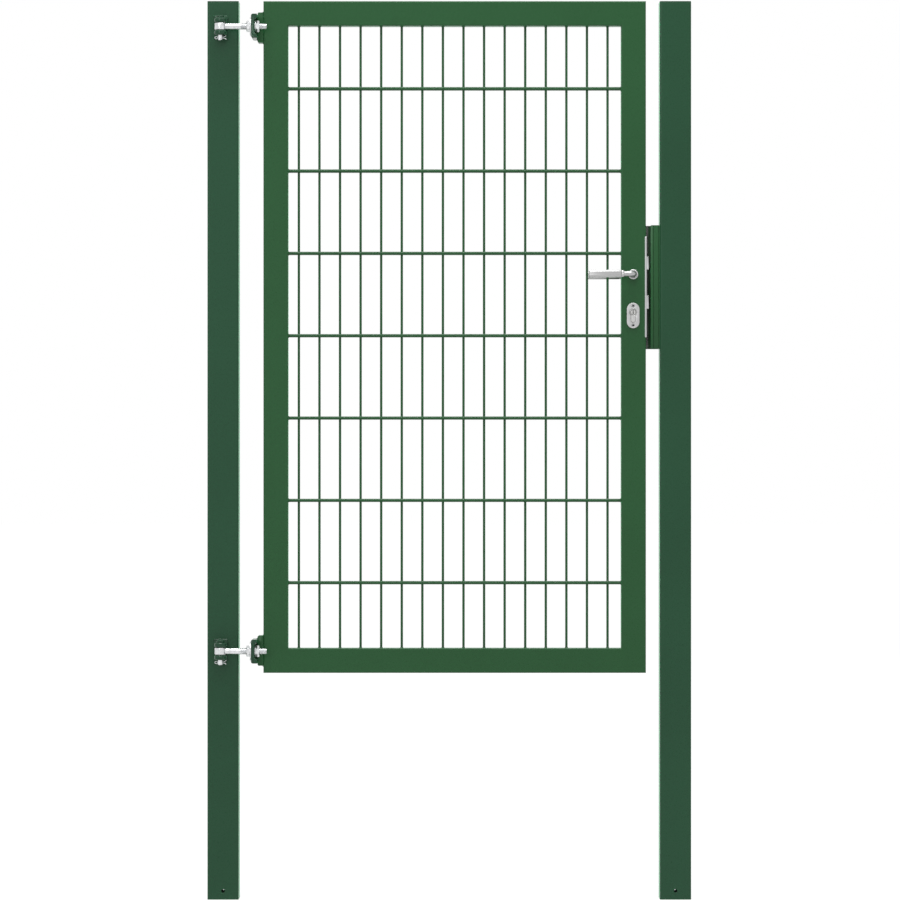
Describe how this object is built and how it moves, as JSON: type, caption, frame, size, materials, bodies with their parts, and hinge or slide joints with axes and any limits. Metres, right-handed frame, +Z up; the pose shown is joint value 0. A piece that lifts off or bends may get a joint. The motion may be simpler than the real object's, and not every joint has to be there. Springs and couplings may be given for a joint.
{
  "type": "single garden gate",
  "caption": "Framed double-wire mesh gate leaf on two adjustable eyebolt hinges between square posts, with a lever lock and a keep with a stop.",
  "frame": {"origin": "centre of the hinge post's foot", "axes": "+X from the hinge post to the latch post, -Y the front, which the leaf opens towards, +Z up"},
  "size_m": [1.174, 0.152, 2.18],
  "materials": {
    "green_coating": "moss-green powder coating on galvanised steel, satin",
    "zinc_plate": "bright zinc-plated steel",
    "stainless_steel": "brushed stainless steel",
    "satin_aluminium": "satin anodised aluminium",
    "nickel_plate": "nickel-plated brass",
    "buffer_rubber": "matt dark grey rubber"
  },
  "bodies": {
    "posts": {"hinge_post": "green_coating", "latch_post": "green_coating", "hinge_post_cap": "green_coating", "latch_post_cap": "green_coating", "upper_post_bracket": "green_coating", "lower_post_bracket": "green_coating", "upper_hinge_pin": "zinc_plate", "lower_hinge_pin": "zinc_plate", "upper_split_pin": "zinc_plate", "lower_split_pin": "zinc_plate", "keep_profile": "green_coating", "keep_buffer": "buffer_rubber", "keep_screws": "zinc_plate"},
    "leaf": {"hinge_stile": "green_coating", "latch_stile": "green_coating", "top_rail": "green_coating", "bottom_rail": "green_coating", "mesh_panel": "green_coating", "upper_bracket_base": "green_coating", "lower_bracket_base": "green_coating", "upper_bracket_channel": "green_coating", "lower_bracket_channel": "green_coating", "upper_eyebolt": "zinc_plate", "lower_eyebolt": "zinc_plate", "upper_washers": "zinc_plate", "lower_washers": "zinc_plate", "upper_outer_nut": "zinc_plate", "lower_outer_nut": "zinc_plate", "upper_inner_nut": "zinc_plate", "lower_inner_nut": "zinc_plate", "lock_case": "stainless_steel", "lock_faceplate": "stainless_steel", "faceplate_screws": "stainless_steel", "lock_cylinder": "nickel_plate", "front_escutcheon": "satin_aluminium", "rear_escutcheon": "satin_aluminium", "escutcheon_screws": "stainless_steel", "front_rose": "satin_aluminium", "rear_rose": "satin_aluminium"},
    "handle": {"front_lever": "satin_aluminium", "rear_lever": "satin_aluminium", "spindle": "zinc_plate"},
    "latch": {"latch_bolt": "stainless_steel"},
    "deadbolt": {"dead_bolt": "stainless_steel"}
  },
  "joints": [
    {"name": "gate_swing", "type": "hinge", "parent": "posts", "child": "leaf", "pos_m": [-0.005, -0.068, 0], "axis": [0, 0, -1], "range_deg": [0, 180]},
    {"name": "handle_turn", "type": "hinge", "parent": "leaf", "child": "handle", "pos_m": [0.995, -0.018, 1.517], "axis": [0, -1, 0], "range_deg": [0, 40], "stiffness_Nm_per_rad": 2, "springref_deg": -17.19},
    {"name": "latch_slide", "type": "slide", "parent": "leaf", "child": "latch", "axis": [1, 0, 0], "range_m": [-0.0062, 0]},
    {"name": "deadbolt_slide", "type": "slide", "parent": "leaf", "child": "deadbolt", "axis": [1, 0, 0], "range_m": [-0.006, 0.013]}
  ],
  "couplings": [
    {"joint": "latch_slide", "follows": "handle_turn", "m_per_rad": -0.0086}
  ]
}
